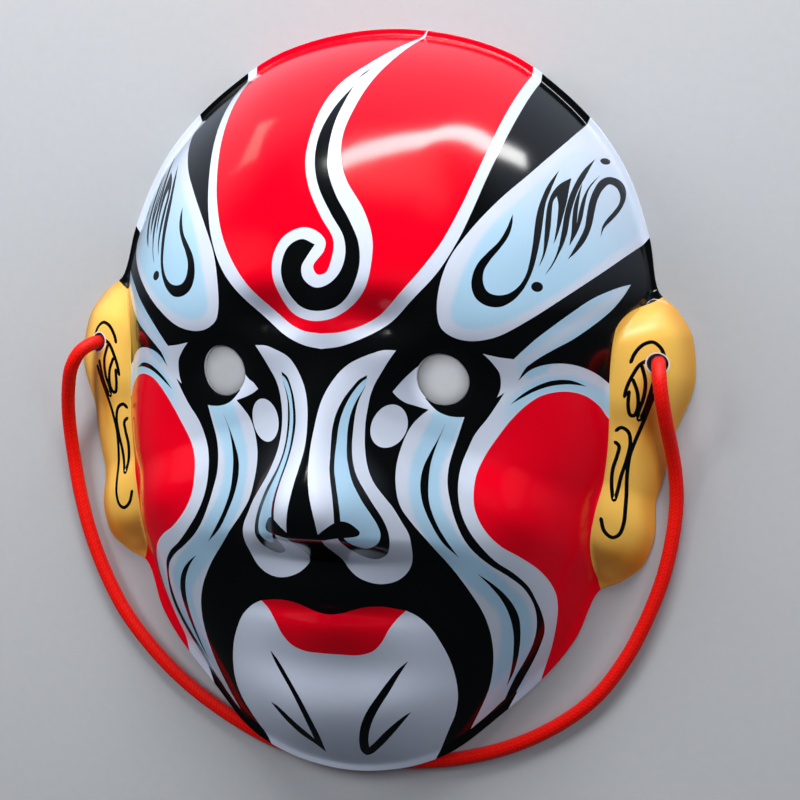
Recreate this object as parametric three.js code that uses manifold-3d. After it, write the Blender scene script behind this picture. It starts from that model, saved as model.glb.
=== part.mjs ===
import * as THREE from 'three';
import { mergeVertices } from 'three/addons/utils/BufferGeometryUtils.js';
import Module from 'manifold-3d';

const wasm = await Module();
wasm.setup();

// An opera face mask pressed from one thin plastic sheet, lying face up on its rim.
// Millimetres: +X to the viewer's right, +Y towards the forehead, +Z out of the face.
// The origin is in the plane of the rim, at the middle of the outline.

// The sheet and its flat turned rim
const sheetThickness = 1.0;
const flangeWidth = 2.3;
const chinArchRise = 6.0;
const chinArchHalfWidth = 34.0;
const chinArchRun = 20.0;

// The face as a dome: its height, how steeply it leaves the rim, and the flatter jaw
const domeHeight = 86.0;
const domeSteepness = 1.5;
const domeReferenceRadius = 106.0;
const jawDrop = 0.33;
const jawDropLength = 65.0;

// The ears, moulded in one with the face
const earHeight = 16.6;
const earRise = 8.5;
const earLean = 0.06;
const earStandOut = 8.0;
const creaseRadius = 1.0;

// The punched holes
const eyeHoleDiameter = 14.4;
const eyeSpacing = 66.0;
const eyeLevel = 4.2;
const cordHoleDiameter = 6.0;
const cordHoleSpacing = 178.4;
const cordHoleLevel = 13.1;

// The covered elastic cord and its knots
const cordDiameter = 4.4;
const cordSteps = 76;
const cordSides = 8;
const knotDiameter = 8.0;
const knotHeight = 4.6;
const touchGap = 0.3;

// How finely the shell is divided
const sectors = 88;
const rings = 21;
const gridMiddle = -22.0;

// Right half of the outline of the face, from the forehead down to the chin
const foreheadEdge = [[0, 116], [18, 114.2], [36, 108.9], [53, 97.9], [71.6, 78.5], [83.5, 51.5], [86.8, 36]];
const templeEdge = [[86.8, 28], [85, 3], [79.5, -28], [75.2, -51]];
const jawEdge = [[73.2, -56], [66.6, -71.3], [46.4, -94.5], [28, -109.4], [14, -114.4], [0, -116]];

// Right half of the outline of the ear, from its top down to the lobe
const earTop = [[93, 30], [98, 21.5], [99.3, 11], [93.6, -9]];
const earLobe = [[89.6, -26], [89, -40], [86.5, -47], [80, -52.6]];

// Reliefs on each half of the dome: [height, middle x, middle y, reach x, reach y]
const cheekAndSocket = [-14.2, 28.3, -10.7, 38, 25.5];
const eyeDish = [-4.6, 33.5, 4, 9, 8];
const browCorner = [-6.3, 16.2, 20.5, 9.8, 6.1];
const cheekBone = [13, 64.6, -37, 25, 27];
const noseRoot = [-2.7, 0, 8, 14, 9];
const upperLip = [3, 0, -57.5, 18, 5];
const mouthLine = [-2.4, 0, -65, 20, 2.6];
const lowerLip = [5.7, 0, -68, 13.6, 8];
const underLip = [-9.5, 0, -82.5, 30, 6];
const chin = [14, 0, -104, 32, 13];
const faceReliefs = [
  cheekAndSocket, eyeDish, browCorner, cheekBone, noseRoot, upperLip, mouthLine, lowerLip, underLip, chin,
];
const reliefFade = 10;

// The nose: a ridge that climbs to the tip, the wings, and the cut below them
const ridgeHeight = 17.3;
const ridgeTop = 0.4;
const ridgeLength = 51.8;
const ridgeReach = 21.6;
const noseTip = [6.8, 0, -20.5, 9.2, 24.3];
const noseWing = [9, 8, -35, 9.3, 12.7];
const noseBase = -50.5;
const noseBaseDepth = 8.5;
const midlineBlend = 2.5;

// The cord from the knot behind one ear, round behind the chin, to the knot behind the other
const cordRoute = [
  [88.9, 13.7, 7.4],
  [89.3, 13.3, 11.2],
  [89.9, 11.5, 14.8],
  [90.7, 7.6, 17.3],
  [91.6, 2.2, 17.0],
  [92.6, -4, 13.9],
  [93.8, -11, 8.6],
  [95.0, -18.5, 4.8],
  [95.6, -27, 2.7],
  [95.0, -37.5, 2.3],
  [92.9, -49.5, 2.3],
  [88.9, -62, 2.3],
  [82.8, -75.3, 2.3],
  [74.5, -87.4, 2.3],
  [63.5, -96.8, 2.3],
  [49, -104.7, 2.3],
  [32, -110, 2.3],
  [14, -112.4, 2.3],
  [-6, -112.4, 2.3],
  [-24.8, -109.8, 2.3],
  [-40.1, -103.6, 2.3],
  [-55.8, -94.4, 2.3],
  [-68.3, -84.2, 2.3],
  [-79.3, -72.2, 2.3],
  [-87, -59.9, 2.3],
  [-92.9, -47.3, 2.3],
  [-97.2, -34.6, 2.3],
  [-99.5, -24.5, 2.8],
  [-100.5, -16.5, 4.6],
  [-100.3, -8.5, 8.0],
  [-98.8, -1.5, 12.2],
  [-96.3, 4.6, 16.4],
  [-93.4, 9.4, 17.4],
  [-90.8, 12.2, 15.0],
  [-89.4, 13.2, 11.2],
  [-88.9, 13.6, 7.4],
];

const smoothStep = (t) => {
  const s = Math.min(Math.max(t, 0), 1);
  return s * s * (3 - 2 * s);
};

// Distance from the middle to the outline in any direction, smooth through the given points
function radiusAround(halfOutline) {
  const knots = halfOutline.map(([x, y]) => [Math.atan2(y, x), Math.hypot(x, y)]).reverse();
  const slope = knots.slice(1).map(([a, r], i) => (r - knots[i][1]) / (a - knots[i][0]));
  const tangent = knots.map((_, i) => {
    if (i === 0 || i === slope.length) return 0;
    const product = slope[i - 1] * slope[i];
    return product > 0 ? (2 * product) / (slope[i - 1] + slope[i]) : 0;
  });
  return (x, y) => {
    const angle = Math.atan2(y, Math.abs(x));
    let i = 0;
    while (i < knots.length - 2 && angle > knots[i + 1][0]) i += 1;
    const width = knots[i + 1][0] - knots[i][0];
    const t = Math.min(Math.max((angle - knots[i][0]) / width, 0), 1);
    const rest = 1 - t;
    return (
      knots[i][1] * rest * rest * (1 + 2 * t) +
      knots[i + 1][1] * t * t * (3 - 2 * t) +
      width * t * rest * (tangent[i] * rest - tangent[i + 1] * t)
    );
  };
}

const faceRadius = radiusAround([...foreheadEdge, ...templeEdge, ...jawEdge]);
const rimRadius = radiusAround([...foreheadEdge, ...earTop, ...earLobe, ...jawEdge]);

const relief = ([height, middleX, middleY, reachX, reachY], x, y) =>
  height * Math.exp(-(((x - middleX) / reachX) ** 2) - ((y - middleY) / reachY) ** 2);

function noseHeight(x, y) {
  const ridge = ridgeHeight * smoothStep((ridgeTop - y) / ridgeLength) * Math.exp(-((x / ridgeReach) ** 2));
  const cut = smoothStep((y - noseBase) / noseBaseDepth);
  return (ridge + relief(noseTip, x, y) + relief(noseWing, x, y)) * cut;
}

// Height of the face above the rim plane, without the ears
function faceHeight(x, y) {
  const edge = faceRadius(x, y) - flangeWidth;
  const u = Math.min(Math.hypot(x, y) / edge, 1);
  const steepness = domeSteepness * (1 + (edge / domeReferenceRadius - 1) * u * u);
  const jaw = 1 - jawDrop * smoothStep(-y / jawDropLength);
  const dome = domeHeight * jaw * (1 - Math.exp(-steepness * (1 - u * u)));
  const features = faceReliefs.reduce((sum, one) => sum + relief(one, x, y), noseHeight(x, y));
  return dome + features * (1 - u ** reliefFade);
}

function earPillow(x, y) {
  const edge = rimRadius(x, y) - flangeWidth;
  const depth = Math.max(edge - Math.hypot(x, y), 0);
  const share = smoothStep((rimRadius(x, y) - faceRadius(x, y)) / earStandOut);
  return share * (earHeight + earLean * y) * (1 - Math.exp(-depth / earRise));
}

// The rim stands clear of the ground under the chin, where the cord passes
function rimLift(x, y) {
  if (y > 0) return 0;
  const u = Math.min(Math.hypot(x, y) / rimRadius(x, y), 1);
  const across = smoothStep((chinArchHalfWidth + chinArchRun - Math.abs(x)) / chinArchRun);
  return chinArchRise * across * u ** 6;
}

// Height of the outer surface of the sheet
function surfaceHeight(x, y) {
  const side = Math.hypot(x, midlineBlend);
  const face = faceHeight(side, y);
  const ear = earPillow(side, y);
  const blend = Math.max(creaseRadius - Math.abs(face - ear), 0) / creaseRadius;
  const crease = ear > 0 ? (blend * blend * creaseRadius) / 4 : 0;
  return rimLift(x, y) + sheetThickness + Math.max(face, ear) + crease;
}

function surfaceNormal(x, y) {
  const step = 0.2;
  const alongX = (surfaceHeight(x + step, y) - surfaceHeight(x - step, y)) / (2 * step);
  const alongY = (surfaceHeight(x, y + step) - surfaceHeight(x, y - step)) / (2 * step);
  return new THREE.Vector3(-alongX, -alongY, 1).normalize();
}

// Rings stand closer together beside the rim, and are centred on the nose
const ringShare = (i) => {
  const t = i / rings;
  return t + 0.03 * Math.sin(Math.PI * t);
};

// One closed sheet: outer surface, flange, edge, flat underside of the flange, inner surface
function makeSheet() {
  const middle = new THREE.Vector3(0, gridMiddle, surfaceHeight(0, gridMiddle));
  const outer = [middle];
  const inner = [middle.clone().addScaledVector(surfaceNormal(0, gridMiddle), -sheetThickness)];
  const direction = (j) => {
    const angle = (2 * Math.PI * j) / sectors;
    return [Math.cos(angle), Math.sin(angle)];
  };
  for (let i = 1; i < rings; i += 1) {
    for (let j = 0; j < sectors; j += 1) {
      const [cx, cy] = direction(j);
      const reach = ringShare(i) * (rimRadius(cx, cy) - flangeWidth);
      const x = cx * reach;
      const y = cy * reach + gridMiddle * (1 - ringShare(i));
      const point = new THREE.Vector3(x, y, surfaceHeight(x, y));
      outer.push(point);
      inner.push(point.clone().addScaledVector(surfaceNormal(x, y), -sheetThickness));
    }
  }
  const rimRing = (inset, rise) => {
    for (let j = 0; j < sectors; j += 1) {
      const [cx, cy] = direction(j);
      const reach = rimRadius(cx, cy) - inset;
      outer.push(new THREE.Vector3(cx * reach, cy * reach, rimLift(cx * reach, cy * reach) + rise));
    }
  };
  rimRing(flangeWidth, sheetThickness);
  rimRing(0, sheetThickness);
  rimRing(0, 0);
  rimRing(flangeWidth + sheetThickness, 0);

  const points = [...outer, ...inner];
  const innerStart = outer.length;
  const at = (start, ring, j) => start + 1 + (ring - 1) * sectors + (j % sectors);
  const faces = [];
  const quad = (a, b, c, d) => {
    const across = points[a].distanceTo(points[c]) < points[b].distanceTo(points[d]);
    faces.push(...(across ? [a, b, c, a, c, d] : [a, b, d, b, c, d]));
  };
  for (let j = 0; j < sectors; j += 1) {
    faces.push(0, at(0, 1, j), at(0, 1, j + 1));
    faces.push(innerStart, at(innerStart, 1, j + 1), at(innerStart, 1, j));
    for (let ring = 1; ring < rings + 3; ring += 1) {
      quad(at(0, ring, j), at(0, ring + 1, j), at(0, ring + 1, j + 1), at(0, ring, j + 1));
    }
    for (let ring = 1; ring < rings - 1; ring += 1) {
      quad(
        at(innerStart, ring, j), at(innerStart, ring, j + 1),
        at(innerStart, ring + 1, j + 1), at(innerStart, ring + 1, j),
      );
    }
    quad(
      at(innerStart, rings - 1, j), at(innerStart, rings - 1, j + 1),
      at(0, rings + 3, j + 1), at(0, rings + 3, j),
    );
  }
  const geometry = new THREE.BufferGeometry().setFromPoints(points);
  geometry.setIndex(faces);
  return geometry;
}

function toSolid(geometry) {
  geometry.deleteAttribute('normal');
  geometry.deleteAttribute('uv');
  const merged = mergeVertices(geometry, 1e-4);
  return new wasm.Manifold(new wasm.Mesh({
    numProp: 3,
    vertProperties: new Float32Array(merged.attributes.position.array),
    triVerts: new Uint32Array(merged.index.array),
  }));
}

function toGeometry(solid) {
  const mesh = solid.getMesh();
  const geometry = new THREE.BufferGeometry();
  geometry.setAttribute('position', new THREE.BufferAttribute(mesh.vertProperties, 3));
  geometry.setIndex(new THREE.BufferAttribute(mesh.triVerts, 1));
  return geometry;
}

function drill(diameter, x, y, sides) {
  const geometry = new THREE.CylinderGeometry(diameter / 2, diameter / 2, domeHeight, sides);
  geometry.rotateX(Math.PI / 2);
  geometry.translate(x, y, domeHeight / 2);
  return toSolid(geometry);
}

function makeShell() {
  let solid = toSolid(makeSheet());
  for (const side of [1, -1]) {
    solid = solid.subtract(drill(eyeHoleDiameter, (side * eyeSpacing) / 2, eyeLevel, 24));
    solid = solid.subtract(drill(cordHoleDiameter, (side * cordHoleSpacing) / 2, cordHoleLevel, 14));
  }
  return toGeometry(solid);
}

function makeCord() {
  const stops = cordRoute.map((p) => new THREE.Vector3(...p));
  const path = new THREE.CatmullRomCurve3(stops, false, 'centripetal');
  path.arcLengthDivisions = 1000;
  const section = new THREE.Shape();
  for (let k = 0; k < cordSides; k += 1) {
    const angle = (2 * Math.PI * (k + 0.5)) / cordSides;
    const x = (Math.cos(angle) * cordDiameter) / 2;
    const y = (Math.sin(angle) * cordDiameter) / 2;
    if (k === 0) section.moveTo(x, y);
    else section.lineTo(x, y);
  }
  return new THREE.ExtrudeGeometry(section, { steps: cordSteps, bevelEnabled: false, extrudePath: path });
}

// A pulled-up overhand knot, as a rounded lump
function makeKnot() {
  const profile = [];
  const levels = 6;
  for (let i = 0; i <= levels; i += 1) {
    const angle = (Math.PI * i) / levels - Math.PI / 2;
    profile.push(new THREE.Vector2(
      i === 0 || i === levels ? 0 : (knotDiameter / 2) * Math.cos(angle),
      (knotHeight / 2) * Math.sin(angle),
    ));
  }
  const geometry = new THREE.LatheGeometry(profile, 12);
  geometry.rotateX(Math.PI / 2);
  return geometry;
}

const plastic = { name: 'painted_plastic', color: 0xe5061a, roughness: 0.16, metalness: 0 };
const elastic = { name: 'covered_elastic', color: 0xe3151b, roughness: 0.75, metalness: 0 };
const paintedPlastic = new THREE.MeshStandardMaterial(plastic);
const cordCover = new THREE.MeshStandardMaterial(elastic);

const mask = new THREE.Group();

const shell = new THREE.Mesh(makeShell(), paintedPlastic);
shell.name = 'mask_shell';
mask.add(shell);

const cord = new THREE.Mesh(makeCord(), cordCover);
cord.name = 'elastic_cord';
mask.add(cord);

const cordEnds = { right_knot: cordRoute[0], left_knot: cordRoute[cordRoute.length - 1] };
for (const [name, [x, y, z]] of Object.entries(cordEnds)) {
  const knot = new THREE.Mesh(makeKnot(), cordCover);
  knot.name = name;
  knot.position.set(x, y, z - knotHeight / 2 - touchGap - cordDiameter * 0.3);
  mask.add(knot);
}

export default mask;
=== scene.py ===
import math
import bpy
import numpy as np
from mathutils import Matrix, Vector
from mathutils.geometry import delaunay_2d_cdt


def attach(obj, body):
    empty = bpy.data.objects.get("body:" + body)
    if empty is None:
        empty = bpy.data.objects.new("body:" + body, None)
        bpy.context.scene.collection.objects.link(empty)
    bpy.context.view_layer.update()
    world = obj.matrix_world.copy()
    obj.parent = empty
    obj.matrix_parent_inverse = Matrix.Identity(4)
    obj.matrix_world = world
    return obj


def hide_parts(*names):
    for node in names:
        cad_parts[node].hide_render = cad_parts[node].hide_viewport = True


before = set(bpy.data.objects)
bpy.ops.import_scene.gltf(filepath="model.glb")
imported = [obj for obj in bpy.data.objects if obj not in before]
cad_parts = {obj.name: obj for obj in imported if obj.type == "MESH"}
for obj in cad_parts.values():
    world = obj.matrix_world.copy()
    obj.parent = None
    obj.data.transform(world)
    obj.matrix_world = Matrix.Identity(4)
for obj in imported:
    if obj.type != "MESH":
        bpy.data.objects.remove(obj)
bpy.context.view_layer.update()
mm = 0.001
scene = bpy.context.scene


# small helpers for curves, all in mm

def smoothStep(t):
    t = np.clip(t, 0, 1)
    return t * t * (3 - 2 * t)


def throughPoints(points, closed, step):
    # a smooth curve through the points, a centripetal Catmull-Rom spline
    p = np.array(points, float)
    if closed:
        p = np.vstack([p[-1], p, p[0], p[1]])
    else:
        p = np.vstack([2 * p[0] - p[1], p, 2 * p[-1] - p[-2]])
    parts = []
    for a, b, c, d in zip(p, p[1:], p[2:], p[3:]):
        t1 = math.sqrt(np.linalg.norm(b - a)) + 1e-9
        t2 = t1 + math.sqrt(np.linalg.norm(c - b)) + 1e-9
        t3 = t2 + math.sqrt(np.linalg.norm(d - c)) + 1e-9
        count = max(int(np.linalg.norm(c - b) / step), 1)
        t = (t1 + (t2 - t1) * np.arange(count) / count)[:, None]
        ab = a + (b - a) * t / t1
        bc = b + (c - b) * (t - t1) / (t2 - t1)
        cd = c + (d - c) * (t - t2) / (t3 - t2)
        abc = ab + (bc - ab) * t / t2
        bcd = bc + (cd - bc) * (t - t1) / (t3 - t1)
        parts.append(abc + (bcd - abc) * (t - t1) / (t2 - t1))
    if not closed:
        parts.append(p[-2:-1])
    return np.vstack(parts)


def outline(points, step=0.7):
    # a closed outline: a point with a third number is a corner, the rest is smooth
    corners = [i for i, q in enumerate(points) if len(q) > 2]
    flat = [q[:2] for q in points]
    if not corners:
        return throughPoints(flat, True, step)
    runs = []
    for i, j in zip(corners, corners[1:] + [corners[0] + len(flat)]):
        run = [flat[k % len(flat)] for k in range(i, j + 1)]
        runs.append(throughPoints(run, False, step)[:-1])
    return np.vstack(runs)


def stroke(points, step=0.6, roundEnds=False):
    # a brush or pen stroke along x, y, width
    line = throughPoints(points, False, step)
    centre, width = line[:, :2], np.maximum(line[:, 2], 0)
    along = np.gradient(centre, axis=0)
    across = np.stack([-along[:, 1], along[:, 0]], 1)
    across /= np.linalg.norm(across, axis=1)[:, None] + 1e-9
    if roundEnds:
        run = np.concatenate([[0], np.cumsum(np.linalg.norm(np.diff(centre, axis=0), axis=1))])
        toEnd = np.minimum(run, run[-1] - run) / (width / 2)
        width = width * np.sqrt(1 - (1 - np.clip(toEnd, 0.05, 1)) ** 2)
    side = across * width[:, None] / 2
    return np.vstack([centre + side, (centre - side)[::-1]])


def mirrored(loop):
    return (loop * (-1, 1))[::-1]


def mirroredNose(loop):
    # along the ridge the print's own middle runs a little to the left
    shift = pattern["noseShift"]
    x, y = loop.T
    beside = 1 - smoothStep((x - shift["from"]) / shift["across"])
    upward = smoothStep((y - shift["foot"]) / shift["rise"])
    return np.stack([-x - shift["most"] * beside * upward, y], 1)[::-1]


def inside(points, loop):
    # which points a closed outline holds, by counting the edges to their right
    x, y = points[:, 0], points[:, 1]
    hit = np.zeros(len(points), bool)
    near = np.nonzero(np.all((points > loop.min(0)) & (points < loop.max(0)), 1))[0]
    px, py = x[near], y[near]
    found = np.zeros(len(near), bool)
    for (ax, ay), (bx, by) in zip(loop, np.roll(loop, -1, 0)):
        if ay != by:
            found ^= ((ay > py) != (by > py)) & (px < (bx - ax) * (py - ay) / (by - ay) + ax)
    hit[near] = found
    return hit


def distanceTo(points, line):
    # distance of each point to an open line
    best = np.full(len(points), 1e9)
    for a, b in zip(line, line[1:]):
        d = b - a
        t = np.clip((points - a) @ d / max(d @ d, 1e-9), 0, 1)
        best = np.minimum(best, np.linalg.norm(points - a - t[:, None] * d, axis=1))
    return best


# materials

def hexColour(value):
    channels = [int(value[i:i + 2], 16) / 255 for i in (1, 3, 5)]
    linear = [c / 12.92 if c <= 0.04045 else ((c + 0.055) / 1.055) ** 2.4 for c in channels]
    return (*linear, 1)


def addNode(tree, kind, settings=None, inputs=None):
    node = tree.nodes.new(kind)
    for name, value in (settings or {}).items():
        setattr(node, name, value)
    for socket, value in (inputs or {}).items():
        if isinstance(value, bpy.types.NodeSocket):
            tree.links.new(value, node.inputs[socket])
        else:
            node.inputs[socket].default_value = value
    return node


def newMaterial(name):
    material = bpy.data.materials.new(name)
    material.use_nodes = True
    tree = material.node_tree
    shader = tree.nodes["Principled BSDF"]
    coords = addNode(tree, "ShaderNodeTexCoord").outputs["Object"]
    return material, tree, shader, coords


def blotches(tree, coords, size, **inputs):
    # a cloudy pattern, 0 to 1, with blotches of the given size in mm
    inputs = {"Vector": coords, "Scale": 1 / (size * mm), **inputs}
    return addNode(tree, "ShaderNodeTexNoise", inputs=inputs).outputs["Fac"]


def blend(tree, factor, first, second, way="MIX"):
    node = addNode(tree, "ShaderNodeMix", {"data_type": "RGBA", "blend_type": way}, {
        "Factor": factor, "A": first, "B": second})
    return node.outputs["Result"]


def emboss(tree, shader, height, strength, depth):
    # lifts the surface by a pattern, with its depth in mm
    bump = addNode(tree, "ShaderNodeBump", inputs={
        "Strength": strength, "Distance": depth * mm, "Height": height})
    tree.links.new(bump.outputs["Normal"], shader.inputs["Normal"])


# the camera: the photograph's view, lens on 36 mm film, place in mm
cameraView = {
    "lens": 90,
    "film": 36,
    "place": (165.4, -17.8, 604.6),
    "right": (0.96669, 0.05200, -0.25062),
    "up": (-0.04344, 0.99827, 0.03955),
}


def makeCamera():
    right = Vector(cameraView["right"]).normalized()
    up = Vector(cameraView["up"]).normalized()
    turn = Matrix((right, up, right.cross(up))).transposed().to_4x4()
    data = bpy.data.cameras.new("camera")
    data.lens = cameraView["lens"]
    data.sensor_width = cameraView["film"]
    data.clip_start = 0.01
    camera = bpy.data.objects.new("camera", data)
    camera.matrix_world = Matrix.Translation(Vector(cameraView["place"]) * mm) @ turn
    scene.collection.objects.link(camera)
    scene.camera = camera
    print("camera placed")


makeCamera()

# the elastic: from the right ear hole round the chin to the left one, in mm; its braid and
# threads are drawn coarser than such a cord has, so that they show
elastic = {
    "diameter": 4.4,
    "route": [
        (88.9, 13.7, 7.4), (89.3, 13.3, 11.2), (89.9, 11.5, 14.8), (90.7, 7.6, 17.3),
        (91.6, 2.2, 17.0), (92.6, -4, 13.9), (93.8, -11, 8.6), (95.0, -18.5, 4.8),
        (95.6, -27, 2.7), (95.0, -37.5, 2.3), (92.9, -49.5, 2.3), (88.9, -62, 2.3),
        (82.8, -75.3, 2.3), (74.5, -87.4, 2.3), (63.5, -96.8, 2.3), (49, -104.7, 2.3),
        (32, -110, 2.3), (14, -112.4, 2.3), (-6, -112.4, 2.3), (-24.8, -109.8, 2.3),
        (-40.1, -103.6, 2.3), (-55.8, -94.4, 2.3), (-68.3, -84.2, 2.3), (-79.3, -72.2, 2.3),
        (-87, -59.9, 2.3), (-92.9, -47.3, 2.3), (-97.2, -34.6, 2.3), (-99.5, -24.5, 2.8),
        (-100.5, -16.5, 4.6), (-100.3, -8.5, 8.0), (-98.8, -1.5, 12.2), (-96.3, 4.6, 16.4),
        (-93.4, 9.4, 17.4), (-90.8, 12.2, 15.0), (-89.4, 13.2, 11.2), (-88.9, 13.6, 7.4),
    ],
    "step": 0.45,
    "sides": 24,
    "carriers": 12,
    "braidPitch": 7.0,
    "braidRelief": 0.05,
    "grooveDepth": 0.075,
    "thread": 0.35,
    "threadDepth": 0.1,
    "colour": "#FF170C",
    # the groove colour is painted shade, mixed into the braid's dips
    "groove": "#D40D07",
    "roughness": 0.55,
    "sheen": 0.03,
}


def tube(line, radius, sides, relief=None):
    # rings carried along the line without twist, closed with caps
    along = np.gradient(line, axis=0)
    along /= np.linalg.norm(along, axis=1)[:, None]
    # the first ring starts from any way that isn't the line's own
    side = np.cross(along[0], (0.3, 0.9, 0.1))
    run, rings = 0, []
    turn = 2 * math.pi * np.arange(sides) / sides
    for i, (point, ahead) in enumerate(zip(line, along)):
        side = side - ahead * (side @ ahead)
        side /= np.linalg.norm(side)
        over = np.cross(ahead, side)
        if i:
            run += np.linalg.norm(point - line[i - 1])
        r = np.broadcast_to(radius[i] if np.ndim(radius) else radius, sides)
        if relief is not None:
            r = r + relief(turn, run)
        rings.append(point + r[:, None] * (np.outer(np.cos(turn), side) + np.outer(np.sin(turn), over)))
    points = np.vstack(rings)
    faces = []
    for i in range(len(line) - 1):
        for k in range(sides):
            a, b = i * sides + k, i * sides + (k + 1) % sides
            faces.append((a, b, b + sides, a + sides))
    faces.append(tuple(range(sides))[::-1])
    last = (len(line) - 1) * sides
    faces.append(tuple(range(last, last + sides)))
    return points, faces


def newPiece(name, points, faces, materials):
    mesh = bpy.data.meshes.new(name)
    mesh.from_pydata([tuple(p) for p in np.asarray(points, float) * mm], [], faces)
    for material in materials:
        mesh.materials.append(material)
    mesh.polygons.foreach_set("use_smooth", [True] * len(faces))
    piece = bpy.data.objects.new(name, mesh)
    scene.collection.objects.link(piece)
    return piece


def addTone(piece, name, tones):
    # a number, 0 to 1, on each of a piece's points
    piece.data.attributes.new(name, "FLOAT", "POINT").data.foreach_set("value", tones)


def coveredElastic():
    # rubber core under a braided polyester cover: soft sheen, crossing strands, fine threads; the groove
    # colour is painted shade, darker where the strands dive
    material, tree, shader, coords = newMaterial("braided_polyester_cover")
    braid = addNode(tree, "ShaderNodeAttribute", {"attribute_name": "braid"}).outputs["Fac"]
    colour = blend(tree, braid, hexColour(elastic["groove"]), hexColour(elastic["colour"]))
    tree.links.new(colour, shader.inputs["Base Color"])
    emboss(tree, shader, blotches(tree, coords, elastic["thread"], Detail=3), 0.35, elastic["threadDepth"])
    shader.inputs["Roughness"].default_value = elastic["roughness"]
    shader.inputs["Sheen Weight"].default_value = elastic["sheen"]
    shader.inputs["Sheen Roughness"].default_value = 0.4
    shader.inputs["Specular IOR Level"].default_value = 0.3
    return material


def braidRelief(turn, run):
    # carriers cross each way round: high in the middle of a strand, low where they dive
    count = elastic["carriers"] / 2
    way = 2 * math.pi * run / elastic["braidPitch"]
    left = np.cos(count * (turn + way))
    right = np.cos(count * (turn - way))
    return elastic["braidRelief"] * (np.maximum(left, right) - 1)


def makeElastic(material):
    line = throughPoints(elastic["route"], False, elastic["step"])
    points, faces = tube(line, elastic["diameter"] / 2, elastic["sides"], braidRelief)
    piece = newPiece("elastic", points, faces, [material])
    centre = np.repeat(line, elastic["sides"], 0)
    height = np.linalg.norm(points - centre, axis=1) - elastic["diameter"] / 2
    # painted shade: 1 on the strands' tops, down to 0 in the dips, where the darker groove colour is mixed
    # in
    addTone(piece, "braid", np.clip(1 + height / elastic["grooveDepth"], 0, 1))
    length = float(np.linalg.norm(np.diff(line, axis=0), axis=1).sum()) * mm
    print("elastic", round(length, 4), "m long")
    return piece, [tuple(p * mm) for p in line[::4]] + [tuple(line[-1] * mm)], length


# the knots behind the ear holes, in mm: an overhand knot each, as x, y of its middle and the
# strand's way round it, and the neck up into the hole as height and radius
knot = {
    "place": (88.9, 13.7),
    "height": 3.5,
    "lump": 1.462,
    "lobes": 0.6192,
    "weave": 0.9,
    "strand": 2.5,
    "neck": [(3.5, 1.3), (5.0, 1.5), (6.2, 1.9), (7.3, 2.0)],
    # how much of the groove's painted shade the knot takes, evenly all over
    "tone": 0.8,
}


def makeKnot(name, side, material):
    x, y = side * knot["place"][0], knot["place"][1]
    turn = 2 * math.pi * np.arange(72) / 72
    spread = knot["lump"] + knot["lobes"] * np.cos(3 * turn)
    line = np.stack([
        x + spread * np.cos(2 * turn),
        y + spread * np.sin(2 * turn),
        knot["height"] + knot["weave"] * np.sin(3 * turn),
    ], 1)
    line = np.vstack([line, line[:1]])
    points, faces = tube(line, knot["strand"] / 2, 14)
    rise = np.array([(x, y, height) for height, radius in knot["neck"]])
    neckPoints, neckFaces = tube(rise, [radius for height, radius in knot["neck"]], 16)
    faces = faces + [tuple(i + len(points) for i in f) for f in neckFaces]
    piece = newPiece(name, np.vstack([points, neckPoints]), faces, [material])
    # painted shade: the whole knot a little darker than the cord
    addTone(piece, "braid", [knot["tone"]] * len(piece.data.vertices))
    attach(piece, "root")
    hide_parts(name.replace("tied_", ""))
    return piece


cover = coveredElastic()
cordPiece, cordPath, cordLength = makeElastic(cover)
knots = [makeKnot("tied_right_knot", 1, cover), makeKnot("tied_left_knot", -1, cover)]
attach(cordPiece, "root")
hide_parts("elastic_cord")
print("elastic and knots made")

# the moulded sheet, in mm: the right half of the rim as x, y, and the relief's humps
# as height, middle x, y and reach x, y; a hole is its x, y and radius
form = {
    "sheet": 1.0,
    "flange": 2.3,
    "creaseReach": 0.8,
    "creaseFade": 1.5,
    "dome": {"height": 86, "steepness": 1.5, "radius": 106, "jawDrop": 0.33, "jawRun": 65},
    "reliefFade": 10,
    "middleRound": 2.5,
    "earDome": {"height": 16.6, "lean": 0.06, "rise": 8.5, "flange": 0.2, "fade": 13.0},
    "forehead": [(0, 116), (18, 114.2), (36, 108.9), (53, 97.9), (71.6, 78.5), (83.5, 51.5), (86.8, 36)],
    "temple": [(86.8, 28), (85, 3), (79.5, -28), (75.2, -51)],
    "jaw": [(73.2, -56), (66.6, -71.3), (46.4, -94.5), (28, -109.4), (14, -114.4), (0, -116)],
    "ear": [(93, 30), (98, 21.5), (99.3, 11), (93.6, -9), (89.6, -26), (89, -40), (86.5, -47), (80, -52.6)],
    "humps": [
        (-14.2, 28.3, -10.7, 38, 25.5), (-4.6, 33.5, 4, 9, 8), (-6.3, 16.2, 20.5, 9.8, 6.1),
        (13, 64.6, -37, 25, 27), (-2.7, 0, 8, 14, 9), (3, 0, -57.5, 18, 5),
        (-2.4, 0, -65, 20, 2.6), (5, 0, -68.5, 13.6, 9.5), (-2.5, 0, -82, 30, 8),
        (7, 0, -100, 32, 17),
    ],
    "noseRidge": {"height": 17.3, "top": 0.4, "run": 51.8, "reach": 21.6, "base": -50.5, "baseRun": 8.5},
    "noseHumps": [(6.8, 0, -20.5, 9.2, 24.3), (9, 8, -35, 9.3, 12.7)],
    "eyeHole": (33, 4.2, 7.2),
    "earHole": (89.2, 13.1, 3.0),
    "chinArch": {"rise": 6.0, "roll": 1.4, "halfWidth": 54, "run": 20},
    "cutEdge": {"height": 0.3, "round": 0.3, "bevel": 0.2, "lean": 0.7, "tip": 2.5, "under": 3.3},
    "rimPoints": 620,
    "rimRings": (0.1, 0.3, 1, 1.5, 1.9, 2.3, 2.7, 3.1),
    "grid": 1.05,
    "gridHalf": (104, 120),
    "gridInset": 3.5,
    "backGrid": 2.4,
    "backInset": 3.6,
}


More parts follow.
